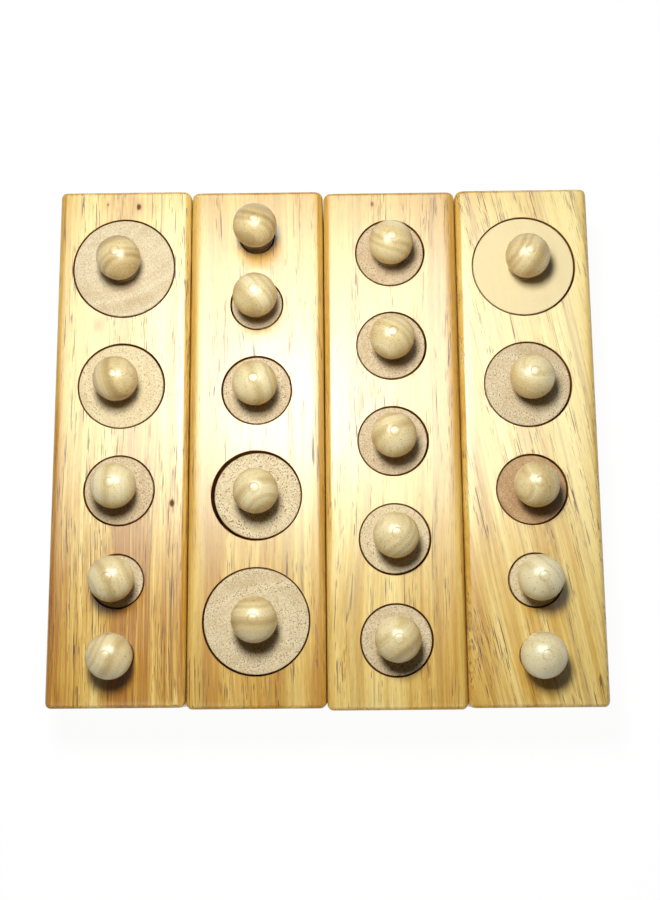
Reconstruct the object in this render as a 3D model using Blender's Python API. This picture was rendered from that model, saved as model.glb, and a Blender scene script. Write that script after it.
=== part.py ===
"""Four knobbed cylinder blocks of pale wood, side by side, with twenty knobbed cylinders.

Metres, +Z up. The origin is on the table, under the middle of the group of four.
A block's length runs along Y. Its far end is at +Y, and blocks a to d follow each other along +X.
"""
import math

import bmesh
import bpy

# Cylinders: five diameters and five heights, one step apart
THINNEST = 0.014
DIAMETER_STEP = 0.007
SHORTEST = 0.012
HEIGHT_STEP = 0.007
CYLINDER_CHAMFER = 0.0006

# Blocks: the wood left round and under the sockets sets their outer size
SIDE_WOOD = 0.00625
END_WOOD = 0.0126
FLOOR_WOOD = 0.0097
SOCKET_WEB = 0.0112
LONG_EDGE_ROUND = 0.003
END_EDGE_ROUND = 0.0015
FOOT_CHAMFER = 0.0008
CORNER_ROUND = 0.0025
TOP_CORNER_SHARE = 0.5

# Fits: play round a cylinder, one socket that came out loose, and the gaps that touching pieces keep
SOCKET_PLAY = 0.0005
LOOSE_SOCKET = "b4"
LOOSE_PLAY = 0.0009
SEAT_GAP = 0.0003
GLUE_GAP = 0.0003
BLOCK_GAP = 0.0003

# Dimple that a drill's point leaves in the middle of a hole's floor
DIMPLE_DIAMETER = 0.0024
DIMPLE_DEPTH = 0.0008

# Knobs: a turned ball on a neck, with a flared foot that leaves a ledge on the thinnest cylinder,
# and a tenon glued into a hole that leaves a floor in the shortest one
BALL_DIAMETER = 0.018
BALL_CENTRE_HEIGHT = 0.013
BALL_FLAT_DIAMETER = 0.0028
NECK_DIAMETER = 0.0075
FOOT_LEDGE = 0.0008
FOOT_HEIGHT = 0.0012
TENON_DIAMETER = 0.006
HOLE_FLOOR = 0.0045

# How far the blocks stand out of line, and the share of it that each has, from block a on
STAGGER = 0.0008
STAGGER_SHARES = (1, 0.1, -1, -0.4)

# Size step of each cylinder, counted from the smallest, from the far end to the near end
DIAMETER_GRADES = {"a": (4, 3, 2, 1, 0), "b": (0, 1, 2, 3, 4), "c": (2, 2, 2, 2, 2), "d": (4, 3, 2, 1, 0)}
HEIGHT_GRADES = {"a": (4, 3, 2, 1, 0), "b": (4, 4, 4, 4, 4), "c": (4, 3, 2, 1, 0), "d": (0, 1, 2, 3, 4)}

# Where each cylinder was let go in its socket: shares, along X and Y, of the play it has left
REST_SHARES = {
    "a": ((0, 0), (-0.5, -0.8), (0, 0.3), (0.2, 0), (0, -0.2)),
    "b": ((0, 0), (0.3, -0.4), (0.5, -0.8), (0.9, -0.3), (0.6, 0.6)),
    "c": ((-0.4, -0.5), (-1, 0), (-0.9, -0.3), (-0.6, 0.8), (-0.3, 0)),
    "d": ((-0.9, -0.2), (-1, 0), (-0.8, -0.5), (0, 0.2), (0, 0)),
}

# Fineness: how deep a facet may lie inside its true circle, and counts of facets
FACET_SAG = 0.00025
KNOB_FACETS = 16
BALL_RINGS = 6
EDGE_RINGS = 3
CORNER_FACETS = 2

# How close points on a lathe's axis lie to be one, and how far a cutter stands out of its block
MERGE_DISTANCE = 0.000001
CUT_OVERRUN = 0.002

# Lacquered wood: colour and roughness
BLOCK_WOOD = ((0.72, 0.47, 0.19), 0.3)
CYLINDER_WOOD = ((0.74, 0.55, 0.33), 0.45)
KNOB_WOOD = ((0.70, 0.58, 0.36), 0.28)


def diameter_of(grade):
    return THINNEST + grade * DIAMETER_STEP


def height_of(grade):
    return SHORTEST + grade * HEIGHT_STEP


def play_of(name):
    return LOOSE_PLAY if name == LOOSE_SOCKET else SOCKET_PLAY


def socket_radius(grade):
    return diameter_of(grade) / 2 + SOCKET_PLAY


def row_length(grades):
    """Length of a row of sockets, over all."""
    return sum(2 * socket_radius(grade) for grade in grades) + SOCKET_WEB * (len(grades) - 1)


def sockets_of(block):
    """Name, Y of the axis and both grades of each socket of a block, in a row that is centred on it."""
    grades = DIAMETER_GRADES[block]
    far_side = row_length(grades) / 2
    for number, (grade, height_grade) in enumerate(zip(grades, HEIGHT_GRADES[block]), start=1):
        y = far_side - socket_radius(grade)
        far_side = y - socket_radius(grade) - SOCKET_WEB
        yield block + str(number), y, grade, height_grade


# Sizes that follow from those above
widest_grade = max(max(grades) for grades in DIAMETER_GRADES.values())
tallest_grade = max(max(grades) for grades in HEIGHT_GRADES.values())
block_length = max(row_length(grades) for grades in DIAMETER_GRADES.values()) + 2 * END_WOOD
block_width = 2 * (socket_radius(widest_grade) + SIDE_WOOD)
block_height = FLOOR_WOOD + SEAT_GAP + height_of(tallest_grade)
block_pitch = block_width + BLOCK_GAP
knob_hole_radius = TENON_DIAMETER / 2 + GLUE_GAP
knob_hole_depth = SHORTEST - HOLE_FLOOR
tenon_length = knob_hole_depth - GLUE_GAP


def lacquered(name, look):
    """A wood's material, from its colour and roughness."""
    colour, roughness = look
    material = bpy.data.materials.new(name)
    material.use_nodes = True
    shader = material.node_tree.nodes["Principled BSDF"]
    shader.inputs["Base Color"].default_value = (*colour, 1)
    shader.inputs["Roughness"].default_value = roughness
    shader.inputs["Metallic"].default_value = 0
    return material


def add_piece(name, bm, material=None, place=(0, 0, 0), parent=None):
    """Makes an object of a bmesh, at a place in its parent's frame."""
    mesh = bpy.data.meshes.new(name)
    bmesh.ops.recalc_face_normals(bm, faces=bm.faces)
    bm.to_mesh(mesh)
    bm.free()
    mesh.shade_smooth()
    mesh.set_sharp_from_angle(angle=math.radians(35))
    if material:
        mesh.materials.append(material)
    piece = bpy.data.objects.new(name, mesh)
    piece.location = place
    piece.parent = parent
    bpy.context.scene.collection.objects.link(piece)
    return piece


def facets_round(radius):
    """Facets round a circle, in fours, so that none lies deeper than FACET_SAG inside it."""
    return 4 * math.ceil(math.pi / math.acos(1 - FACET_SAG / radius) / 4)


def turn(bm, profile, facets, y=0):
    """Turns a profile of (radius, height) points on a lathe whose axis stands at y."""
    points = [bm.verts.new((radius, y, height)) for radius, height in profile]
    edges = [bm.edges.new(pair) for pair in zip(points, points[1:])]
    bmesh.ops.spin(bm, geom=points + edges, axis=(0, 0, 1), cent=(0, y, 0), angle=math.tau,
                   steps=facets, use_merge=True)
    bmesh.ops.remove_doubles(bm, verts=bm.verts, dist=MERGE_DISTANCE)


def rounded_rectangle(half_width, half_length, radius):
    """Points round a rectangle with rounded corners, each with the direction it faces."""
    points = []
    for quarter, (side, end) in enumerate(((1, 1), (-1, 1), (-1, -1), (1, -1))):
        for facet in range(CORNER_FACETS + 1):
            angle = math.pi / 2 * (quarter + facet / CORNER_FACETS)
            x = side * (half_width - radius) + radius * math.cos(angle)
            y = end * (half_length - radius) + radius * math.sin(angle)
            points.append((x, y, angle))
    return points


def top_edge_ring(bm, share):
    """A ring of points on the round of a block's top edge.

    The share runs from 0 on the upright sides to 1 on the top face. The round is larger along
    the sides than across the ends, and goes over from one to the other at the corners.
    """
    angle = math.pi / 2 * share
    inset = 1 - math.cos(angle)
    drop = 1 - math.sin(angle)
    outline = rounded_rectangle(block_width / 2 - LONG_EDGE_ROUND * inset,
                                block_length / 2 - END_EDGE_ROUND * inset,
                                CORNER_ROUND * (1 - inset * (1 - TOP_CORNER_SHARE)))
    ring = []
    for x, y, facing in outline:
        edge_round = END_EDGE_ROUND + (LONG_EDGE_ROUND - END_EDGE_ROUND) * math.cos(facing) ** 2
        ring.append(bm.verts.new((x, y, block_height - edge_round * drop)))
    return ring


def block_blank():
    """A block before it is drilled: chamfered at its foot and rounded along its top."""
    bm = bmesh.new()
    rings = []
    for inset, height in ((FOOT_CHAMFER, 0), (0, FOOT_CHAMFER)):
        outline = rounded_rectangle(block_width / 2 - inset, block_length / 2 - inset, CORNER_ROUND)
        rings.append([bm.verts.new((x, y, height)) for x, y, facing in outline])
    for step in range(EDGE_RINGS + 1):
        rings.append(top_edge_ring(bm, step / EDGE_RINGS))
    for below, above in zip(rings, rings[1:]):
        for i, vert in enumerate(below):
            bm.faces.new((below[i - 1], vert, above[i], above[i - 1]))
    bm.faces.new(rings[0])
    bm.faces.new(rings[-1])
    return bm


def socket_cutter(block):
    """The five sockets of a block as one cutter, each as deep as its cylinder is high."""
    bm = bmesh.new()
    for name, y, grade, height_grade in sockets_of(block):
        radius = diameter_of(grade) / 2 + play_of(name)
        floor = block_height - height_of(height_grade) - SEAT_GAP
        profile = ((0, floor - DIMPLE_DEPTH), (DIMPLE_DIAMETER / 2, floor), (radius, floor),
                   (radius, block_height + CUT_OVERRUN), (0, block_height + CUT_OVERRUN))
        turn(bm, profile, facets_round(diameter_of(grade) / 2), y)
    return bm


def add_block(block, index, material):
    """A block in its place in the group, drilled by its cutter."""
    x = block_pitch * (index - (len(DIAMETER_GRADES) - 1) / 2)
    place = (x, STAGGER * STAGGER_SHARES[index], 0)
    body = add_piece("block_" + block, block_blank(), material, place)
    cutter = add_piece("sockets_" + block, socket_cutter(block), parent=body)
    cutter.hide_render = True
    cutter.display_type = "WIRE"
    drilling = body.modifiers.new("Sockets", "BOOLEAN")
    drilling.operation = "DIFFERENCE"
    drilling.solver = "EXACT"
    drilling.object = cutter
    return body


def cylinder_shape(grade, height_grade):
    """A turned cylinder with eased edges, drilled from the top for its knob's tenon."""
    radius = diameter_of(grade) / 2
    height = height_of(height_grade)
    hole_floor = height - knob_hole_depth
    profile = ((0, 0), (radius - CYLINDER_CHAMFER, 0), (radius, CYLINDER_CHAMFER),
               (radius, height - CYLINDER_CHAMFER), (radius - CYLINDER_CHAMFER, height),
               (knob_hole_radius, height), (knob_hole_radius, hole_floor), (0, hole_floor - DIMPLE_DEPTH))
    bm = bmesh.new()
    turn(bm, profile, facets_round(radius))
    return bm


def knob_shape():
    """The turned knob, from its tenon up. Height zero is the underside of its foot."""
    ball = BALL_DIAMETER / 2
    neck = NECK_DIAMETER / 2
    foot = THINNEST / 2 - FOOT_LEDGE
    neck_angle = math.asin(neck / ball)
    flat_angle = math.pi - math.asin(BALL_FLAT_DIAMETER / 2 / ball)
    neck_height = BALL_CENTRE_HEIGHT - ball * math.cos(neck_angle)
    profile = [(0, -tenon_length), (TENON_DIAMETER / 2, -tenon_length), (TENON_DIAMETER / 2, 0),
               (foot, 0), (foot, FOOT_HEIGHT)]
    # The foot's flare is a quarter of an ellipse, from the foot's rim to the neck
    flare = math.pi / 4
    profile.append((foot - (foot - neck) * math.sin(flare),
                    neck_height - (neck_height - FOOT_HEIGHT) * math.cos(flare)))
    for ring in range(BALL_RINGS + 1):
        angle = neck_angle + (flat_angle - neck_angle) * ring / BALL_RINGS
        profile.append((ball * math.sin(angle), BALL_CENTRE_HEIGHT - ball * math.cos(angle)))
    profile.append((0, profile[-1][1]))
    bm = bmesh.new()
    turn(bm, profile, KNOB_FACETS)
    return bm


def build():
    for leftover in list(bpy.data.objects):
        bpy.data.objects.remove(leftover)
    block_wood = lacquered("block_wood", BLOCK_WOOD)
    cylinder_wood = lacquered("cylinder_wood", CYLINDER_WOOD)
    knob_wood = lacquered("knob_wood", KNOB_WOOD)
    for index, block in enumerate(DIAMETER_GRADES):
        body = add_block(block, index, block_wood)
        for (name, y, grade, height_grade), (x_share, y_share) in zip(sockets_of(block), REST_SHARES[block]):
            height = height_of(height_grade)
            slack = play_of(name) - SEAT_GAP
            seat = (slack * x_share, y + slack * y_share, block_height - height)
            cylinder = add_piece("cylinder_" + name, cylinder_shape(grade, height_grade), cylinder_wood,
                                 seat, body)
            add_piece("knob_" + name, knob_shape(), knob_wood, (0, 0, height + GLUE_GAP), cylinder)


build()
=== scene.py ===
"""Four knobbed cylinder blocks of pale rubberwood, side by side, as seen from above."""
import functools
import math
import random

import bmesh
import bpy
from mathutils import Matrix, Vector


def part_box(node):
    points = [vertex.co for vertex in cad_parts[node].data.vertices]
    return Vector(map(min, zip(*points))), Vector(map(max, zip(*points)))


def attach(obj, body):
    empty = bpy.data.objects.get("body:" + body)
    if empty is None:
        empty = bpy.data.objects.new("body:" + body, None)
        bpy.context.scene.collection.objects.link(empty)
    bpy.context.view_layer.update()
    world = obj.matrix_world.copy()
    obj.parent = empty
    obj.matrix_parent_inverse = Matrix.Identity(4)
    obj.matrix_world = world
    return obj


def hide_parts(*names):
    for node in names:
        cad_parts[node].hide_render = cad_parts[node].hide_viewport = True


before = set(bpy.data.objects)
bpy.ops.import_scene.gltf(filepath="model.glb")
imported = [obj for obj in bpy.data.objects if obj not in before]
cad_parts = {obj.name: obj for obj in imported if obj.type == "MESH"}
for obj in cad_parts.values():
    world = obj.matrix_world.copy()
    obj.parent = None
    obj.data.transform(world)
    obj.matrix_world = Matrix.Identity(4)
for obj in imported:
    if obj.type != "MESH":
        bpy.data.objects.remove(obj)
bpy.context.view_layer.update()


# The blocks: four bars of rubberwood, planed, their long edges rounded over with a router and
# their ends sanded softer. Five flat-floored sockets are drilled in each, down to what its
# cylinder needs, and a brushed satin lacquer closes the wood.
LONG_EDGE_ROUND = 0.0025
END_EDGE_ROUND = 0.0015
CORNER_ROUND = 0.0025
FOOT_EASE = 0.0008
EDGE_STEPS = 8
# The crown of the top: how wide its fall is, how deep, how far down the round it reaches
CROWN_WIDTH = 0.0058
CROWN_FALL = 0.0011
CROWN_REACH = 0.00375
CROWN_STRIPS = 4
SOCKET_COUNT = 5
SOCKET_WEB = 0.0112
SOCKET_PLAY = 0.0005
LOOSE_SOCKET = "b4"
LOOSE_PLAY = 0.0009
SOCKET_SPARE_DEPTH = 0.0003
SOCKET_STEPS = 96
MOUTH_EASE = 0.00018
# Shares of the mouth's easing, outward and upward: halfway round it, and on past the top
MOUTH_SHARES = [(0.293, -0.293), (1.5656, 0.2344)]
CUTTER_OVERRUN = 0.002
DRILL_POINT_RADIUS = 0.0012
DRILL_POINT_DEPTH = 0.0008
SMOOTH_BELOW = math.radians(32)
# How near is the same place, how near the top is flush with it, and how square is facing up
SAME_PLACE = 0.0001
FLUSH = 0.00002
FACING = 0.9


def pick(piece, kind, wanted):
    """Selects, in edit mode, only the piece's faces or edges that the test accepts."""
    bpy.ops.mesh.select_mode(type=kind)
    bpy.ops.mesh.select_all(action="DESELECT")
    shape = bmesh.from_edit_mesh(piece.data)
    for element in shape.edges if kind == "EDGE" else shape.faces:
        element.select_set(wanted(element))
    bmesh.update_edit_mesh(piece.data)


def start_edit(name):
    """Names the primitive that was just added, keeps its place in its mesh, and opens it."""
    piece = bpy.context.object
    piece.name = piece.data.name = name
    bpy.ops.object.transform_apply(location=True, rotation=True, scale=True)
    bpy.ops.object.mode_set(mode="EDIT")
    return piece


def finish_edit(piece, material):
    """Closes the piece, smooths its rounds, keeps its flats flat, and gives it its finish."""
    bpy.ops.object.mode_set(mode="OBJECT")
    bpy.ops.object.shade_smooth_by_angle(angle=SMOOTH_BELOW)
    bpy.ops.object.modifier_add(type="WEIGHTED_NORMAL")
    piece.modifiers[-1].keep_sharp = True
    bpy.ops.object.modifier_apply(modifier=piece.modifiers[-1].name)
    piece.data.materials.clear()
    piece.data.materials.append(material)


def extrude_up(rise):
    """Extrudes the selected face straight up, or down where the rise is negative."""
    bpy.ops.mesh.extrude_region_move(TRANSFORM_OT_translate={"value": (0, 0, rise)})


def draw_out(outline, radius, height):
    """Extrudes the selected round face, of this radius and height, on to each (radius, height)."""
    for next_radius, next_height in outline:
        extrude_up(next_height - height)
        bpy.ops.transform.resize(value=(next_radius / radius, next_radius / radius, 1))
        radius, height = next_radius, next_height


def colour(code):
    """Turns an sRGB hex colour into the linear one that a shader takes."""
    channels = [int(code[i:i + 2], 16) / 255 for i in (1, 3, 5)]
    return [c / 12.92 if c <= 0.04045 else ((c + 0.055) / 1.055) ** 2.4 for c in channels] + [1]


def set_inputs(node, inputs):
    """Gives a node's inputs their values, or links them to the nodes or outputs given."""
    for name, value in inputs.items():
        if isinstance(value, bpy.types.Node):
            value = value.outputs[0]
        if isinstance(value, bpy.types.NodeSocket):
            node.id_data.links.new(value, node.inputs[name])
        else:
            node.inputs[name].default_value = value


def add_node(tree, kind, *values, inputs=None, stops=(), **settings):
    """Adds a node with its settings, its inputs by order or by name, and its ramp's stops."""
    node = tree.nodes.new("ShaderNode" + kind)
    for name, value in settings.items():
        setattr(node, name, value)
    set_inputs(node, {**dict(enumerate(values)), **(inputs or {})})
    for number, (position, code) in enumerate(stops):
        ramp = node.color_ramp.elements
        stop = ramp[number] if number < 2 else ramp.new(position)
        stop.position = position
        stop.color = colour(code)
    return node


def start_material(name):
    """Gives a new material, its shader, and the function that adds nodes to it."""
    material = bpy.data.materials.new(name)
    material.use_nodes = True
    tree = material.node_tree
    return material, tree.nodes["Principled BSDF"], functools.partial(add_node, tree)


# Rubberwood, plain sawn: straw yellow with golden bands a few millimetres wide, finer streaks
# along the grain, hair-thin ring lines, and open pores that show as brown dashes. The pores are
# drawn about 0.3 mm wide, half as wide again as real ones, so that they show.
WOOD_TONES = [(0.36, "#AE7321"), (0.46, "#CA9838"), (0.54, "#DEB75A"), (0.64, "#F0D686")]
RING_TONE = "#8E5614"
PORE_TONE = "#66320A"
KNOT_STAIN_TONE = "#B97F34"
KNOT_HEART_TONE = "#5A300E"
RUBBED_TONE = "#F0D6A2"
BAND_WIDTH_MM = 4.5
RING_GAP_MM = 7.0
STREAK_MM = (1.2, 90.0, 1.2)
FIBRE_MM = (0.4, 20.0, 0.4)
CLOUD_MM = (14.0, 90.0, 14.0)
SPECK_MM = (0.32, 4.5, 0.32)
SPECK_FROM_TO = (0.63, 0.73)
SPECK_SHARE = 0.2
DASH_MM = (0.26, 8.0, 0.26)
DASH_FROM_TO = (0.67, 0.71)
DASH_SHARE = 0.85
LONG_DASH_MM = (0.34, 26.0, 0.34)
LONG_DASH_FROM_TO = (0.67, 0.72)
LONG_DASH_SHARE = 1.0
PORE_PATCH_MM = (3.5, 40.0, 3.5)
SWAY_MM = (45.0, 130.0, 45.0)
SWAY_REACH_MM = 7.0
GRAIN_DEPTH = 0.00008
BAND_SHARE = 0.5
STREAK_SHARE = 0.36
FIBRE_SHARE = 0.2
CLOUD_SHARE = 0.2
# Where, from the near to the far side, a plank goes over to its far tone and to a calmer figure
GOLD_FROM_TO = (-0.06, 0.06)
CALM_FROM_TO = (-0.06, 0.03)
CALM_SHARE = 0.5
STRIPE_WANDER = 0.008
STRIPE_FADE_MM = 60
STRIPE_CORE_SHARE = 0.5
STRIPE_EDGE_SHARE = 1 / 0.7
RING_FROM_TO = (0.004, 0.025)
RING_SHARE = 0.6
KNOT_STRETCH = (1, 0.6, 1)
KNOT_RAGGED_SHARE = 0.8
KNOT_HEART_SHARES = (0.8, 1.5)
KNOT_STAIN_SHARES = (1.0, 3.5)
RUBBED_FROM_TO = (0.0012, 0.0034)
SMOOTH = {"interpolation_type": "SMOOTHSTEP"}


def per_millimetre(lengths):
    return [1 / length for length in lengths]


def lay_in_log(add, pith, turn, grain):
    """Millimetres in the log that a piece was cut from: its pith is the origin, and its grain
    runs along the axis named. The rings sway a little on their way up the tree."""
    place = add("TexCoord").outputs["Object"]
    laid = add("Mapping", place, pith, turn, vector_type="TEXTURE")
    mm = add("VectorMath", laid, inputs={"Scale": 1000}, operation="SCALE")
    across = [0 if axis == grain else 1 for axis in "XYZ"]
    slow = add("VectorMath", mm, per_millimetre(SWAY_MM), operation="MULTIPLY")
    sway = add("TexNoise", slow, inputs={"Scale": 1, "Detail": 1}).outputs["Color"]
    reach = [SWAY_REACH_MM * share for share in across]
    swayed = add("VectorMath", sway, reach, mm, operation="MULTIPLY_ADD")
    spokes = add("VectorMath", swayed, across, operation="MULTIPLY")
    radius = add("VectorMath", spokes, operation="LENGTH").outputs["Value"]
    return place, swayed, radius


def grain_noise(add, swayed, size, detail=2.0, roughness=0.5):
    """Noise whose blots have the size given, in millimetres along the log's axes."""
    scaled = add("VectorMath", swayed, per_millimetre(size), operation="MULTIPLY")
    return add("TexNoise", scaled, inputs={"Scale": 1, "Detail": detail, "Roughness": roughness})


def ring_noise(add, radius, width, detail, roughness=0.5):
    """Bands round the pith, each about as wide as given, in millimetres."""
    rings = {"W": radius, "Scale": 1 / width, "Detail": detail, "Roughness": roughness}
    return add("TexNoise", inputs=rings, noise_dimensions="1D")


def ring_lines(add, radius, gap, detail, from_to, share):
    """Thin lines round the pith, where bands about a gap apart pass their middle value."""
    away = add("Math", ring_noise(add, radius, gap, detail), 0.5, operation="SUBTRACT")
    away = add("Math", away, operation="ABSOLUTE")
    return add("MapRange", away, *from_to, share, 0.0, **SMOOTH)


def pore_marks(add, swayed, size, from_to, share, detail=0.0):
    """Pores or flecks of about the size given, in millimetres, as dark as the share given."""
    noise = grain_noise(add, swayed, size, detail)
    return add("MapRange", noise, *from_to, 0.0, share, **SMOOTH)


def plank_tone(add, place, parts, cloud, golden, lively, stripes):
    """How light the wood is, from its figure's parts and their shares, its ends and its stripes."""
    figure = 0.0
    for part, share in parts:
        centred = add("Math", part, 0.5, operation="SUBTRACT")
        figure = add("Math", centred, share * lively, figure, operation="MULTIPLY_ADD")
    across, along = add("SeparateXYZ", place).outputs[:2]
    calm = add("MapRange", along, *CALM_FROM_TO, 1.0, CALM_SHARE, **SMOOTH)
    tone = add("Math", figure, calm, 0.5, operation="MULTIPLY_ADD")
    gold = add("MapRange", along, *GOLD_FROM_TO, *golden, **SMOOTH)
    tone = add("Math", tone, gold, operation="SUBTRACT")
    wander = add("Math", cloud, STRIPE_WANDER, -STRIPE_WANDER / 2, operation="MULTIPLY_ADD")
    for x, half_width, shift, end in stripes:
        away = add("Math", across, x / 1000, operation="SUBTRACT")
        away = add("Math", away, wander, operation="ADD")
        away = add("Math", away, operation="ABSOLUTE")
        core, edge = (half_width / 1000 * share for share in (STRIPE_CORE_SHARE, STRIPE_EDGE_SHARE))
        stripe = add("MapRange", away, core, edge, shift, 0.0, **SMOOTH)
        faded = (end + STRIPE_FADE_MM) / 1000
        fading = add("MapRange", along, end / 1000, faded, 1.0, 0.0, **SMOOTH)
        tone = add("Math", stripe, fading, tone, operation="MULTIPLY_ADD")
    return tone


def plank_pores(add, swayed, pored):
    """Faint specks all over, and short and long dashes that crowd in patches."""
    specks = pore_marks(add, swayed, SPECK_MM, SPECK_FROM_TO, SPECK_SHARE)
    dashes = pore_marks(add, swayed, DASH_MM, DASH_FROM_TO, DASH_SHARE)
    longer = pore_marks(add, swayed, LONG_DASH_MM, LONG_DASH_FROM_TO, LONG_DASH_SHARE)
    dashes = add("Math", dashes, longer, operation="MAXIMUM")
    patches = grain_noise(add, swayed, PORE_PATCH_MM, 1.0)
    start = 0.58 - 0.14 * pored
    crowd = add("MapRange", patches, start, start + 0.1, 0.1, 1.0, **SMOOTH)
    dashes = add("Math", dashes, crowd, operation="MULTIPLY")
    return add("Math", specks, dashes, operation="MAXIMUM")


def rubbed_edges(add, place, box, cloud):
    """How far hands have rubbed the wood, in patches, near the outer edge of the top."""
    low, high = box
    offset = add("VectorMath", place, (low + high) / 2, operation="SUBTRACT")
    across, along, up = add("SeparateXYZ", offset).outputs
    reach = (high - low) / 2
    side = add("Math", reach.x, add("Math", across, operation="ABSOLUTE"), operation="SUBTRACT")
    end = add("Math", reach.y, add("Math", along, operation="ABSOLUTE"), operation="SUBTRACT")
    below = add("Math", reach.z, up, operation="SUBTRACT")
    near = add("Math", add("Math", side, end, operation="MINIMUM"), below, operation="ADD")
    near = add("MapRange", near, *RUBBED_FROM_TO, 1.0, 0.0, **SMOOTH)
    return add("Math", near, add("MapRange", cloud, 0.35, 0.6, **SMOOTH), operation="MULTIPLY")


def plank_wood(name, box, pith, turn, golden, lively, pored, stripes, knots):
    """The lacquered wood of one block. Golden is how far its near and its far end lean to gold,
    lively is how strong its figure is, and pored is how many long pores show. Stripes are (x, half
    width, shift, y where they fade) in millimetres, and knots are (place, radius, darkness)."""
    material, shader, add = start_material("rubberwood_lacquered_" + name)
    place, swayed, radius = lay_in_log(add, pith, turn, "Y")
    streaks = grain_noise(add, swayed, STREAK_MM, 3.0, 0.55)
    fibres = grain_noise(add, swayed, FIBRE_MM, 1.0)
    cloud = grain_noise(add, swayed, CLOUD_MM)
    bands = ring_noise(add, radius, BAND_WIDTH_MM, 4.0, 0.55)
    parts = [(bands, BAND_SHARE), (streaks, STREAK_SHARE), (fibres, FIBRE_SHARE), (cloud, CLOUD_SHARE)]
    tone = plank_tone(add, place, parts, cloud, golden, lively, stripes)
    wood = add("ValToRGB", tone, stops=WOOD_TONES)
    lines = ring_lines(add, radius, RING_GAP_MM, 2.0, RING_FROM_TO, RING_SHARE * lively)
    broken = add("MapRange", streaks, 0.3, 0.6, **SMOOTH)
    lines = add("Math", lines, broken, operation="MULTIPLY")
    wood = add("MixRGB", lines, wood, colour(RING_TONE))
    pores = plank_pores(add, swayed, pored)
    wood = add("MixRGB", pores, wood, colour(PORE_TONE))
    dull = add("Math", pores, 0.12, operation="MULTIPLY")
    for spot, size, darkness in knots:
        away = add("VectorMath", place, spot, operation="SUBTRACT")
        away = add("VectorMath", away, KNOT_STRETCH, operation="MULTIPLY")
        away = add("VectorMath", away, operation="LENGTH").outputs["Value"]
        ragged = add("Math", streaks, size * KNOT_RAGGED_SHARE, away, operation="MULTIPLY_ADD")
        inner, outer = (size * share for share in KNOT_STAIN_SHARES)
        stain = add("MapRange", ragged, inner, outer, 0.6, 0.0, **SMOOTH)
        wood = add("MixRGB", stain, wood, colour(KNOT_STAIN_TONE))
        inner, outer = (size * share for share in KNOT_HEART_SHARES)
        heart = add("MapRange", ragged, inner, outer, darkness, 0.0, **SMOOTH)
        wood = add("MixRGB", heart, wood, colour(KNOT_HEART_TONE))
        dull = add("Math", heart, 0.75, dull, operation="MULTIPLY_ADD")
    rubbed = rubbed_edges(add, place, box, cloud)
    wood = add("MixRGB", add("Math", rubbed, 0.15, operation="MULTIPLY"), wood, colour(RUBBED_TONE))
    gloss = add("Math", dull, 0.25, operation="ADD")
    gloss = add("Math", cloud, 0.1, gloss, operation="MULTIPLY_ADD")
    gloss = add("Math", rubbed, 0.1, gloss, operation="MULTIPLY_ADD")
    relief = add("Math", streaks, 0.4, operation="MULTIPLY")
    relief = add("Math", pores, -1.0, relief, operation="MULTIPLY_ADD")
    bump = add("Bump", inputs={"Height": relief, "Strength": 0.35, "Distance": GRAIN_DEPTH})
    set_inputs(shader, {"Base Color": wood, "Roughness": gloss, "Normal": bump})
    shader.inputs["IOR"].default_value = 1.5
    shader.inputs["Specular IOR Level"].default_value = 0.6
    return material


# Rubberwood inside the sockets, which the lacquer hasn't reached: dull, with the fine rings that
# the drill's lips leave down the wall. It is drawn a deeper brown than the wood outside, as painted shade
# of the deep sockets.
DRILLED_TONES = [(0.35, "#7A4A18"), (0.5, "#986328"), (0.65, "#B07C3A")]
DRILLED_PITH = (0, 0, -0.05)
DRILLED_STREAK_MM = (0.7, 12.0, 0.7)
DRILL_MARK_PITCH = 0.0008
DRILL_MARK_DEPTH = 0.0001


def drilled_wood():
    """The bare wood inside the sockets."""
    material, shader, add = start_material("rubberwood_drilled")
    place, swayed = lay_in_log(add, DRILLED_PITH, (0, 0, 0), "Y")[:2]
    streaks = grain_noise(add, swayed, DRILLED_STREAK_MM, 3.0, 0.6)
    height = add("SeparateXYZ", place).outputs[2]
    marks = add("Math", height, math.tau / DRILL_MARK_PITCH, operation="MULTIPLY")
    marks = add("Math", marks, operation="SINE")
    tone = add("Math", marks, 0.05, streaks, operation="MULTIPLY_ADD")
    wood = add("ValToRGB", tone, stops=DRILLED_TONES)
    gloss = add("Math", streaks, 0.2, 0.65, operation="MULTIPLY_ADD")
    bump = add("Bump", inputs={"Height": tone, "Strength": 0.5, "Distance": DRILL_MARK_DEPTH})
    set_inputs(shader, {"Base Color": wood, "Roughness": gloss, "Normal": bump})
    shader.inputs["IOR"].default_value = 1.45
    shader.inputs["Specular IOR Level"].default_value = 0.25
    return material


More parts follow.
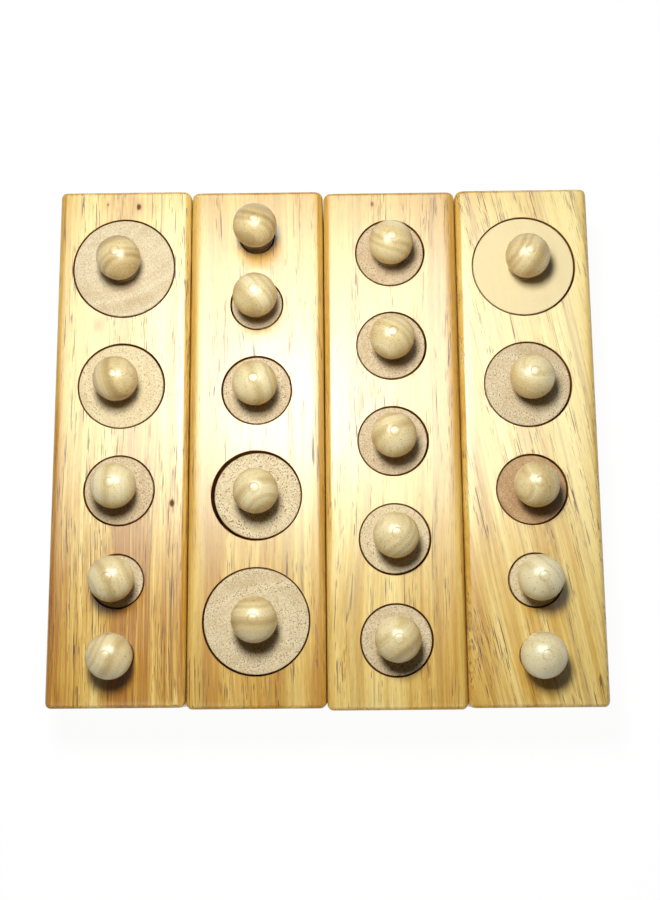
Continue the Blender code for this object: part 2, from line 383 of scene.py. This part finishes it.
def planed_bar(name, low, high, crowned):
    """A bar with rounded edges. Its top, outside the sockets, is sanded so that it falls away to
    its left and its right edge, by the shares of the crown's fall that are given."""
    bpy.ops.object.select_all(action="DESELECT")
    bpy.ops.mesh.primitive_cube_add(size=1, location=(low + high) / 2, scale=high - low)
    bar = start_edit(name)
    pick(bar, "EDGE", lambda edge: abs(edge.verts[0].co.x - edge.verts[1].co.x) > SAME_PLACE)
    bpy.ops.mesh.subdivide(number_cuts=2 * CROWN_STRIPS)
    shape = bmesh.from_edit_mesh(bar.data)
    cuts = sorted({round(vert.co.x, 5) for vert in shape.verts})
    insides = [0] + [LONG_EDGE_ROUND + (CROWN_WIDTH - LONG_EDGE_ROUND) * step / CROWN_STRIPS
                     for step in range(1, CROWN_STRIPS + 1)]
    places = [low.x + inside for inside in insides] + [high.x - inside for inside in reversed(insides)]
    for vert in shape.verts:
        vert.co.x = places[cuts.index(round(vert.co.x, 5))]
    weight = shape.edges.layers.float.new("bevel_weight_edge")
    for edge in shape.edges:
        start, end = (vert.co for vert in edge.verts)
        on_side = min(start.x - low.x, high.x - start.x) < SAME_PLACE
        if abs(start.x - end.x) < SAME_PLACE and not on_side:
            continue
        if abs(start.z - end.z) > SAME_PLACE:
            edge[weight] = CORNER_ROUND / LONG_EDGE_ROUND
        elif start.z < low.z + SAME_PLACE:
            edge[weight] = FOOT_EASE / LONG_EDGE_ROUND
        elif abs(start.y - end.y) > SAME_PLACE:
            edge[weight] = 1
        else:
            edge[weight] = END_EDGE_ROUND / LONG_EDGE_ROUND
    bmesh.update_edit_mesh(bar.data)
    bpy.ops.object.mode_set(mode="OBJECT")
    bpy.ops.object.modifier_add(type="BEVEL")
    rounding = bar.modifiers[-1]
    rounding.limit_method = "WEIGHT"
    rounding.width = LONG_EDGE_ROUND
    rounding.segments = EDGE_STEPS
    bpy.ops.object.modifier_apply(modifier=rounding.name)
    for vert in bar.data.vertices:
        for share, inside in zip(crowned, (vert.co.x - low.x, high.x - vert.co.x)):
            if inside < CROWN_WIDTH and vert.co.z > high.z - CROWN_REACH:
                vert.co.z -= share * CROWN_FALL * (1 - inside / CROWN_WIDTH) ** 2
    return bar


def sockets_of(block):
    """Y of the axis, radius and floor height of each socket, in a row centred on the block."""
    names = [block + str(number) for number in range(1, SOCKET_COUNT + 1)]
    seats = [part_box("cylinder_" + name) for name in names]
    radii = [(high.x - low.x) / 2 for low, high in seats]
    low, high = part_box("block_" + block)
    half_row = sum(radii) + SOCKET_COUNT * SOCKET_PLAY + (SOCKET_COUNT - 1) / 2 * SOCKET_WEB
    far_side = (low.y + high.y) / 2 + half_row
    for name, radius, seat in zip(names, radii, seats):
        y = far_side - radius - SOCKET_PLAY
        far_side = y - radius - SOCKET_PLAY - SOCKET_WEB
        play = LOOSE_PLAY if name == LOOSE_SOCKET else SOCKET_PLAY
        yield y, radius + play, seat[0].z - SOCKET_SPARE_DEPTH


def socket_cutter(x, y, radius, floor, top):
    """A drill's cut: a round, flat-floored hole with the dimple of the drill's point and an eased
    mouth, which goes on in line a little above the block."""
    bpy.ops.object.select_all(action="DESELECT")
    depth = top - MOUTH_EASE - floor
    middle = (x, y, (top - MOUTH_EASE + floor) / 2)
    bpy.ops.mesh.primitive_cylinder_add(vertices=SOCKET_STEPS, radius=radius, depth=depth, location=middle)
    cutter = start_edit("socket")
    pick(cutter, "FACE", lambda face: face.normal.z < -FACING)
    bpy.ops.mesh.inset(thickness=radius - DRILL_POINT_RADIUS)
    extrude_up(-DRILL_POINT_DEPTH)
    bpy.ops.mesh.merge(type="CENTER")
    pick(cutter, "FACE", lambda face: face.normal.z > FACING)
    mouth = [(radius + MOUTH_EASE * out, MOUTH_EASE * up) for out, up in MOUTH_SHARES]
    draw_out(mouth, radius, -MOUTH_EASE)
    extrude_up(CUTTER_OVERRUN)
    bpy.ops.object.mode_set(mode="OBJECT")
    return cutter


def drill(bar, cutter):
    """Takes the cutter's shape out of the bar."""
    bpy.ops.object.select_all(action="DESELECT")
    bpy.context.view_layer.objects.active = bar
    bar.select_set(True)
    bpy.ops.object.modifier_add(type="BOOLEAN")
    drilling = bar.modifiers[-1]
    drilling.object = cutter
    drilling.operation = "DIFFERENCE"
    drilling.solver = "EXACT"
    bpy.ops.object.modifier_apply(modifier=drilling.name)
    bpy.data.objects.remove(cutter)


# Each block's stock. Block a is the liveliest, b and c are calm, and d's grain runs aslant.
# The darker stripes beside the seams, b's at x -49 and c's at x 50, are painted shade of the rounded edges
# there.
BLOCK_PLANKS = {
    "a": {
        "pith": (-0.110, 0, -0.060), "turn": (0, 0, 0.0), "golden": (0.02, -0.025), "lively": 1.2,
        "pored": 1.05,
        "stripes": [(-69, 6, -0.08, -30), (-58.5, 2.0, 0.04, 120), (-84, 3, -0.05, -40),
                    (-109, 3, -0.05, -20)],
        "knots": [((-0.0780, 0.1014, 0.05), 0.0011, 0.95), ((-0.0621, -0.0255, 0.05), 0.0012, 0.95),
                  ((-0.0912, 0.1025, 0.05), 0.0005, 0.8), ((-0.0941, 0.0497, 0.05), 0.0012, 0.1)],
    },
    "b": {
        "pith": (0.030, 0, -0.080), "turn": (0, 0, 0.01), "golden": (0.0, 0.01), "lively": 0.62,
        "pored": 0.6,
        "stripes": [(-49, 8, -0.02, -30), (-3, 3, -0.03, -30), (-15, 5, 0.04, -40)],
        "knots": [],
    },
    "c": {
        "pith": (-0.010, 0, 0.140), "turn": (0, 0, -0.01), "golden": (-0.045, 0.01), "lively": 0.6,
        "pored": 0.55,
        "stripes": [(8, 6, 0.03, -20), (22, 8, 0.04, -50), (50, 7, -0.05, 120)],
        "knots": [((0.0208, 0.1014, 0.05), 0.0008, 0.6)],
    },
    "d": {
        "pith": (0.150, 0, -0.030), "turn": (0, 0, 0.2), "golden": (-0.035, -0.04), "lively": 0.62,
        "pored": 0.7,
        "stripes": [(103, 10, 0.07, 120), (62, 4, -0.03, 120), (72, 5, 0.03, -20)],
        "knots": [],
    },
}
# How much of the crown each block's left and right edge have
CROWN_SHARES = {"a": (0.1, 0.8), "b": (0.85, 0.85), "c": (0.85, 0.8), "d": (0.9, 0.2)}

bare_wood = drilled_wood()
for block, plank in BLOCK_PLANKS.items():
    node = "block_" + block
    low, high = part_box(node)
    bar = planed_bar("drilled_" + node, low, high, CROWN_SHARES[block])
    middle = (low.x + high.x) / 2
    sockets = list(sockets_of(block))
    for y, radius, floor in sockets:
        drill(bar, socket_cutter(middle, y, radius, floor, high.z))
    bpy.ops.object.mode_set(mode="EDIT")

    def in_socket(face):
        """Whether a face is part of a socket's wall, floor or eased mouth."""
        x, y, z = face.calc_center_median()
        return z < high.z - FLUSH and any(math.hypot(x - middle, y - axis) < radius + MOUTH_EASE
                                          for axis, radius, floor in sockets)

    finish_edit(bar, plank_wood(node, (low, high), **plank))
    bar.data.materials.append(bare_wood)
    bpy.ops.object.mode_set(mode="EDIT")
    pick(bar, "FACE", in_socket)
    bar.active_material_index = 1
    bpy.ops.object.material_slot_assign()
    bpy.ops.object.mode_set(mode="OBJECT")
    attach(bar, node)
    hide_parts(node)


# The cylinders: twenty plugs turned from rubberwood dowel, so that their tops show end grain.
# Their edges are eased, and each is drilled down its axis for the tenon of its knob.
RIM_EASE = 0.0002
RIM_EASE_STEPS = 3
KNOB_HOLE_RADIUS = 0.0033
KNOB_HOLE_DEPTH = 0.0075
PLUG_PITH_DISTANCE = 0.045
PLUG_TILT = 0.05

# Rubberwood end grain, sanded and sealed but hardly glossy: pinkish straw, with pores as dark
# specks a quarter of a millimetre across that crowd along faint rings. Its rim is painted brown,
# as shade from the gap round the plug.
END_TONES = [(0.38, "#C4AC83"), (0.46, "#D3BF98"), (0.54, "#DCCCA7"), (0.62, "#E6DAB8")]
BROWN_END_TONES = [(0.38, "#94673C"), (0.46, "#AD8253"), (0.54, "#BC9263"), (0.62, "#CBA476")]
PALE_END_TONE = "#EFDDA8"
END_PORE_TONE = "#8A6638"
RIM_SHADE_TONE = "#7A4A12"
END_BAND_WIDTH_MM = 4.0
END_FIBRE_MM = (0.6, 0.6, 40.0)
END_CLOUD_MM = (9.0, 9.0, 60.0)
END_PORE_MM = (0.40, 0.52, 6.0)
END_PORE_FROM_TO = (0.57, 0.67)
RIM_SHADE_FROM_TO = (0.0001, 0.0004)


def from_axis(add, offset):
    """How far a point is from the upright axis that its offset is taken from."""
    flat = add("VectorMath", offset, (1, 1, 0), operation="MULTIPLY")
    return add("VectorMath", flat, operation="LENGTH").outputs["Value"]


def rim_shade(add, place, box):
    """How much painted shade browns the wood near the cylinder's top or bottom edge."""
    low, high = box
    reach = (high - low) / 2
    offset = add("VectorMath", place, (low + high) / 2, operation="SUBTRACT")
    height = add("Math", add("SeparateXYZ", offset).outputs[2], operation="ABSOLUTE")
    inward = add("Math", reach.x, from_axis(add, offset), operation="SUBTRACT")
    below = add("Math", reach.z, height, operation="SUBTRACT")
    near = add("Math", inward, below, operation="ADD")
    return add("MapRange", near, *RIM_SHADE_FROM_TO, 0.6, 0.0, **SMOOTH)


def end_grain_wood(name, box, pith, turn, brown, speckle):
    """The wood of one cylinder. Brown, from -1 to 1, makes it paler or browner, and speckle is
    how plainly its pores show."""
    material, shader, add = start_material("rubberwood_end_grain_" + name)
    place, swayed, radius = lay_in_log(add, pith, turn, "Z")
    bands = ring_noise(add, radius, END_BAND_WIDTH_MM, 4.0, 0.6)
    fibres = grain_noise(add, swayed, END_FIBRE_MM, 3.0, 0.6)
    cloud = grain_noise(add, swayed, END_CLOUD_MM)
    tone = add("Math", fibres, 0.5, operation="MULTIPLY")
    tone = add("Math", bands, 0.25, tone, operation="MULTIPLY_ADD")
    tone = add("Math", cloud, 0.25, tone, operation="MULTIPLY_ADD")
    wood = add("ValToRGB", tone, stops=END_TONES)
    browner = add("ValToRGB", tone, stops=BROWN_END_TONES)
    wood = add("MixRGB", max(0.0, brown), wood, browner)
    wood = add("MixRGB", max(0.0, -brown), wood, colour(PALE_END_TONE))
    specks = pore_marks(add, swayed, END_PORE_MM, END_PORE_FROM_TO, speckle, 0.5)
    crowd = add("MapRange", bands, 0.35, 0.6, 0.35, 1.0, **SMOOTH)
    pores = add("Math", specks, crowd, operation="MULTIPLY")
    wood = add("MixRGB", pores, wood, colour(END_PORE_TONE))
    # Painted shade: the rim is browned where it meets the gap round the socket.
    wood = add("MixRGB", rim_shade(add, place, box), wood, colour(RIM_SHADE_TONE))
    gloss = add("Math", pores, 0.2, 0.5, operation="MULTIPLY_ADD")
    gloss = add("Math", cloud, 0.15, gloss, operation="MULTIPLY_ADD")
    relief = add("Math", fibres, 0.3, operation="MULTIPLY")
    relief = add("Math", pores, -1.0, relief, operation="MULTIPLY_ADD")
    bump = add("Bump", inputs={"Height": relief, "Strength": 0.4, "Distance": GRAIN_DEPTH})
    set_inputs(shader, {"Base Color": wood, "Roughness": gloss, "Normal": bump})
    shader.inputs["IOR"].default_value = 1.45
    shader.inputs["Specular IOR Level"].default_value = 0.15
    return material


def turned_plug(name, low, high):
    """A round plug with eased rims and a hole down its axis for the knob's tenon."""
    centre = (low + high) / 2
    radius = (high.x - low.x) / 2
    bpy.ops.object.select_all(action="DESELECT")
    bpy.ops.mesh.primitive_cylinder_add(vertices=SOCKET_STEPS, radius=radius, depth=high.z - low.z,
                                        location=centre)
    plug = start_edit(name)
    pick(plug, "FACE", lambda face: face.normal.z > FACING)
    bpy.ops.mesh.inset(thickness=radius - KNOB_HOLE_RADIUS)
    extrude_up(-KNOB_HOLE_DEPTH)
    extrude_up(-DRILL_POINT_DEPTH)
    bpy.ops.mesh.merge(type="CENTER")

    def on_rim(edge):
        """Whether an edge runs round the top or the bottom of the plug."""
        start, end = (vert.co - centre for vert in edge.verts)
        outside = min(start.xy.length, end.xy.length) > radius - SAME_PLACE
        return outside and abs(start.z - end.z) < SAME_PLACE

    pick(plug, "EDGE", on_rim)
    bpy.ops.mesh.bevel(offset=RIM_EASE, segments=RIM_EASE_STEPS, affect="EDGES")
    return plug


# How brown each cylinder's stock was, and how plainly its pores show
CYLINDER_STOCK = {
    "a": ((0.0, 0.45), (-0.35, 0.6), (0.2, 0.8), (0.1, 0.7), (0.0, 0.7)),
    "b": ((0.0, 0.7), (0.1, 0.7), (0.15, 0.8), (-0.15, 1.0), (-0.1, 0.9)),
    "c": ((0.3, 0.8), (0.2, 0.8), (0.2, 0.7), (-0.2, 0.7), (0.05, 0.8)),
    "d": ((-0.8, 0.0), (0.05, 1.0), (0.8, 0.8), (-0.2, 0.7), (0.0, 0.7)),
}

logs = random.Random(7)
for block, stocks in CYLINDER_STOCK.items():
    for number, (brown, speckle) in enumerate(stocks, start=1):
        name = block + str(number)
        node = "cylinder_" + name
        low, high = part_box(node)
        plug = turned_plug("turned_" + node, low, high)
        lean = logs.uniform(0, math.tau)
        pith = ((low.x + high.x) / 2 + PLUG_PITH_DISTANCE * math.cos(lean),
                (low.y + high.y) / 2 + PLUG_PITH_DISTANCE * math.sin(lean), 0)
        turn = (logs.uniform(-PLUG_TILT, PLUG_TILT), logs.uniform(-PLUG_TILT, PLUG_TILT), lean)
        finish_edit(plug, end_grain_wood(name, (low, high), pith, turn, brown, speckle))
        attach(plug, node)
        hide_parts(node)


# The knobs: balls of a paler, closer wood, turned in one piece with a neck, a flared foot and
# a glued tenon. The lathe leaves a small flat with a ring round it on top of the ball.
BALL_RADIUS = 0.009
BALL_CENTRE = 0.013
NECK_RADIUS = 0.00375
FOOT_RADIUS = 0.0062
FOOT_HEIGHT = 0.0012
FOOT_EDGE = 0.0003
FOOT_DROP = 0.00022
TENON_RADIUS = 0.003
TENON_LENGTH = 0.0072
TOP_FLAT_RADIUS = 0.0019
TOP_RING_DEPTH = 0.00012
# Shares of the flat's radius and of its ring's depth, from the ring inward
TOP_RING_SHARES = [(0.9, 1), (0.78, 1 / 6), (0.3, 1 / 12)]
KNOB_STEPS = 64
FLARE_STEPS = 8
BALL_STEPS = 28
KNOB_PITH_NEAR = 0.012
KNOB_PITH_FAR = 0.03
KNOB_TILT = 0.5

neck_angle = math.asin(NECK_RADIUS / BALL_RADIUS)
flat_angle = math.pi - math.asin(TOP_FLAT_RADIUS / BALL_RADIUS)
neck_height = BALL_CENTRE - BALL_RADIUS * math.cos(neck_angle)
top_height = BALL_CENTRE - BALL_RADIUS * math.cos(flat_angle)
outline = [(TENON_RADIUS, -FOOT_DROP), (FOOT_RADIUS - FOOT_EDGE, -FOOT_DROP),
           (FOOT_RADIUS, FOOT_EDGE - FOOT_DROP), (FOOT_RADIUS, FOOT_HEIGHT - FOOT_EDGE)]
for step in range(1, FLARE_STEPS):
    angle = math.pi / 2 * step / FLARE_STEPS
    outline.append((FOOT_RADIUS - (FOOT_RADIUS - NECK_RADIUS) * math.sin(angle),
                    neck_height - (neck_height - FOOT_HEIGHT) * math.cos(angle)))
for step in range(BALL_STEPS + 1):
    angle = neck_angle + (flat_angle - neck_angle) * step / BALL_STEPS
    outline.append((BALL_RADIUS * math.sin(angle), BALL_CENTRE - BALL_RADIUS * math.cos(angle)))
for out, deep in TOP_RING_SHARES:
    outline.append((TOP_FLAT_RADIUS * out, top_height - TOP_RING_DEPTH * deep))

# A close-grained pale wood, turned and dipped in lacquer: greyish straw with faint bands and a
# few thin ring lines, fine lathe marks round the axis, and a small soft highlight.
KNOB_TONES = [(0.26, "#AA8E58"), (0.38, "#CAB17A"), (0.46, "#DAC38C"), (0.54, "#E3D09B"),
              (0.62, "#ECDDAF")]
PALE_KNOB_TONE = "#E8E0B6"
KNOB_RING_TONE = "#9E7C48"
KNOB_FLECK_TONE = "#8A6A3C"
UNDERSIDE_SHADE_TONE = "#A57F48"
KNOB_BAND_WIDTH_MM = 4.5
KNOB_RING_GAP_MM = 6.0
KNOB_RING_FROM_TO = (0.002, 0.016)
KNOB_RING_SHARE = 0.32
KNOB_FIBRE_MM = (0.45, 0.45, 9.0)
KNOB_FLECK_MM = (0.45, 0.45, 1.6)
KNOB_FLECK_FROM_TO = (0.7, 0.78)
KNOB_FLECK_SHARE = 0.55
KNOB_GRAIN_DEPTH = 0.00006
LATHE_PITCH = 0.0004
GROOVE_FROM_TO = (0.00015, 0.0006)
UNDERSIDE_SHADE_FROM_TO = (0.005, 0.016)


def turned_wood(name, centre, pith, turn, pale):
    """The wood of one knob. Pale, from -1 to 1, darkens or lightens it."""
    material, shader, add = start_material("close_grained_wood_" + name)
    place, swayed, radius = lay_in_log(add, pith, turn, "Z")
    bands = ring_noise(add, radius, KNOB_BAND_WIDTH_MM, 1.0)
    fibres = grain_noise(add, swayed, KNOB_FIBRE_MM, 3.0, 0.6)
    tone = add("Math", fibres, 0.35, 0.12 * pale, operation="MULTIPLY_ADD")
    tone = add("Math", bands, 0.65, tone, operation="MULTIPLY_ADD")
    wood = add("ValToRGB", tone, stops=KNOB_TONES)
    wood = add("MixRGB", 0.5 * max(pale, 0), wood, colour(PALE_KNOB_TONE))
    lines = ring_lines(add, radius, KNOB_RING_GAP_MM, 1.0, KNOB_RING_FROM_TO, KNOB_RING_SHARE)
    broken = add("MapRange", fibres, 0.35, 0.6, 0.2, 1.0, **SMOOTH)
    lines = add("Math", lines, broken, operation="MULTIPLY")
    wood = add("MixRGB", lines, wood, colour(KNOB_RING_TONE))
    flecks = pore_marks(add, swayed, KNOB_FLECK_MM, KNOB_FLECK_FROM_TO, KNOB_FLECK_SHARE)
    wood = add("MixRGB", flecks, wood, colour(KNOB_FLECK_TONE))
    offset = add("VectorMath", place, centre, operation="SUBTRACT")
    out = from_axis(add, offset)
    height = add("SeparateXYZ", offset).outputs[2]
    # The ring round the flat on top is drawn darker, and the underside and the neck are darkened as
    # painted shade
    groove = add("Math", out, TOP_FLAT_RADIUS, operation="SUBTRACT")
    groove = add("Math", groove, operation="ABSOLUTE")
    groove = add("MapRange", groove, *GROOVE_FROM_TO, 0.22, 0.0, **SMOOTH)
    upper = add("Math", height, BALL_CENTRE, operation="GREATER_THAN")
    groove = add("Math", groove, upper, operation="MULTIPLY")
    wood = add("MixRGB", groove, wood, colour(KNOB_RING_TONE))
    # Painted shade: the lower half of the ball and the neck are darkened.
    underside_shade = add("MapRange", height, *UNDERSIDE_SHADE_FROM_TO, 0.45, 0.0, **SMOOTH)
    wood = add("MixRGB", underside_shade, wood, colour(UNDERSIDE_SHADE_TONE))
    # Lathe marks: fine rings round the axis of the knob
    lathe = add("Math", height, out, operation="SUBTRACT")
    lathe = add("Math", lathe, math.tau / LATHE_PITCH, operation="MULTIPLY")
    lathe = add("Math", lathe, operation="SINE")
    relief = add("Math", lathe, 0.06, operation="MULTIPLY")
    relief = add("Math", fibres, 0.3, relief, operation="MULTIPLY_ADD")
    relief = add("Math", flecks, -1.0, relief, operation="MULTIPLY_ADD")
    bump = add("Bump", inputs={"Height": relief, "Strength": 0.25, "Distance": KNOB_GRAIN_DEPTH})
    gloss = add("Math", fibres, 0.12, 0.3, operation="MULTIPLY_ADD")
    set_inputs(shader, {"Base Color": wood, "Roughness": gloss, "Normal": bump})
    shader.inputs["IOR"].default_value = 1.5
    shader.inputs["Specular IOR Level"].default_value = 0.25
    shader.inputs["Coat Weight"].default_value = 0.5
    shader.inputs["Coat Roughness"].default_value = 0.3
    shader.inputs["Coat IOR"].default_value = 1.5
    return material


bpy.ops.object.select_all(action="DESELECT")
bpy.ops.mesh.primitive_circle_add(vertices=KNOB_STEPS, radius=TENON_RADIUS, fill_type="NGON",
                                  location=(0, 0, -TENON_LENGTH))
pattern = start_edit("knob_pattern")
pick(pattern, "FACE", lambda face: True)
draw_out(outline, TENON_RADIUS, -TENON_LENGTH)
bpy.ops.mesh.merge(type="CENTER")
bpy.ops.mesh.select_all(action="SELECT")
bpy.ops.mesh.normals_make_consistent(inside=False)
bpy.ops.object.mode_set(mode="OBJECT")

# How pale each knob's wood is
KNOB_PALENESS = {
    "a": (-0.6, -0.4, 0.45, 0.15, 0.2),
    "b": (-0.8, 0.25, 0.3, 0.2, 0.0),
    "c": (0.0, 0.1, 0.1, 0.25, 0.0),
    "d": (-0.2, 0.05, -0.5, 1.0, 0.8),
}

for block, palenesses in KNOB_PALENESS.items():
    for number, pale in enumerate(palenesses, start=1):
        name = block + str(number)
        node = "knob_" + name
        low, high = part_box(node)
        seat = ((low.x + high.x) / 2, (low.y + high.y) / 2, high.z - top_height)
        bpy.ops.object.select_all(action="DESELECT")
        pattern.select_set(True)
        bpy.context.view_layer.objects.active = pattern
        bpy.ops.object.duplicate(linked=False)
        knob = bpy.context.object
        knob.name = knob.data.name = "turned_" + node
        knob.location = seat
        bpy.ops.object.transform_apply(location=True, rotation=True, scale=True)
        lean = logs.uniform(0, math.tau)
        off = logs.uniform(KNOB_PITH_NEAR, KNOB_PITH_FAR)
        pith = (seat[0] + off * math.cos(lean), seat[1] + off * math.sin(lean), seat[2])
        turn = (logs.uniform(-KNOB_TILT, KNOB_TILT), logs.uniform(-KNOB_TILT, KNOB_TILT), lean)
        finish_edit(knob, turned_wood(name, seat, pith, turn, pale))
        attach(knob, "cylinder_" + name)
        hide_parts(node)
bpy.data.objects.remove(pattern)


# The floor: a plain pale surface. It takes the object's shadow faintly, and shows white to the
# camera and in the lacquer.
FLOOR_SIZE = 6
FLOOR_DROP = 0.0002
WHITE = (1, 1, 1, 1)
FAINT_GREY = (0.06, 0.06, 0.06, 1)

bpy.ops.object.select_all(action="DESELECT")
bpy.ops.mesh.primitive_plane_add(size=FLOOR_SIZE, location=(0, 0, -FLOOR_DROP))
floor = bpy.context.object
floor.name = "floor"
paper = bpy.data.materials.new("white_paper")
paper.use_nodes = True
tree = paper.node_tree
tree.nodes.clear()
matt = add_node(tree, "BsdfDiffuse", inputs={"Color": FAINT_GREY})
glow = add_node(tree, "Emission", inputs={"Color": WHITE, "Strength": 0.965})
add_node(tree, "OutputMaterial", inputs={"Surface": add_node(tree, "AddShader", matt, glow)})
floor.data.materials.append(paper)

# The light: an even dim room, paler and warm where the lacquer mirrors it, and three soft lamps.
# The key lamp hangs a little beyond the middle and casts the shadows, the sheen lamp is a broad
# cool one that only the lacquer mirrors, and the spark lamp puts the highlight on each knob.
world = bpy.data.worlds.new("even_room")
bpy.context.scene.world = world
world.use_nodes = True
tree = world.node_tree
tree.nodes.clear()
rays = add_node(tree, "LightPath").outputs
room = add_node(tree, "Background", inputs={"Color": WHITE, "Strength": 0.012})
mirrored = add_node(tree, "Background", inputs={"Color": colour("#FFF2D6"), "Strength": 0.27})
seen = add_node(tree, "Background", inputs={"Color": WHITE, "Strength": 0.985})
surround = add_node(tree, "MixShader", rays["Is Glossy Ray"], room, mirrored)
surround = add_node(tree, "MixShader", rays["Is Camera Ray"], surround, seen)
add_node(tree, "OutputWorld", inputs={"Surface": surround})


def hang_lamp(name, place, aim, width, length, power, tint):
    """Adds a soft oblong lamp at a place, turned to shine at a point."""
    bpy.ops.object.light_add(type="AREA", location=place)
    lamp = bpy.context.object
    lamp.name = name
    lamp.data.shape = "RECTANGLE"
    lamp.data.size = width
    lamp.data.size_y = length
    lamp.data.energy = power
    lamp.data.color = colour(tint)[:3]
    towards = [a - p for a, p in zip(aim, place)]
    lamp.rotation_euler = (math.atan2(towards[1], -towards[2]), math.atan2(-towards[0], -towards[2]), 0)
    lamp.visible_camera = False
    return lamp


key = hang_lamp("key_lamp", place=(-0.036, 0.068, 0.470), aim=(-0.030, 0.100, 0.050),
                width=0.08, length=0.12, power=2.22, tint="#FFFFFF")
key.visible_glossy = False
sheen = hang_lamp("sheen_lamp", place=(-0.022, 0.130, 0.42), aim=(-0.022, 0.130, 0.05),
                  width=0.36, length=0.23, power=4.6, tint="#DBF4F1")
sheen.visible_diffuse = False
spark = hang_lamp("spark_lamp", place=(-0.023, 0.048, 0.200), aim=(-0.023, 0.048, 0.05),
                  width=0.07, length=0.07, power=0.15, tint="#FFFFFF")
spark.visible_diffuse = False
spark.data.shape = "ELLIPSE"

# The camera: above the blocks and a little on the near side of their middle, tipped away
camera_data = bpy.data.cameras.new("camera")
camera = bpy.data.objects.new("camera", camera_data)
bpy.context.scene.collection.objects.link(camera)
camera.location = (0.00674, -0.09636, 0.54117)
camera.rotation_euler = (0.18515, 0.01112, -0.00866)
camera_data.sensor_width = 36
camera_data.lens = 49.05
camera_data.clip_start = 0.01
camera_data.clip_end = 20
bpy.context.scene.camera = camera
bpy.context.scene.view_settings.view_transform = "Standard"
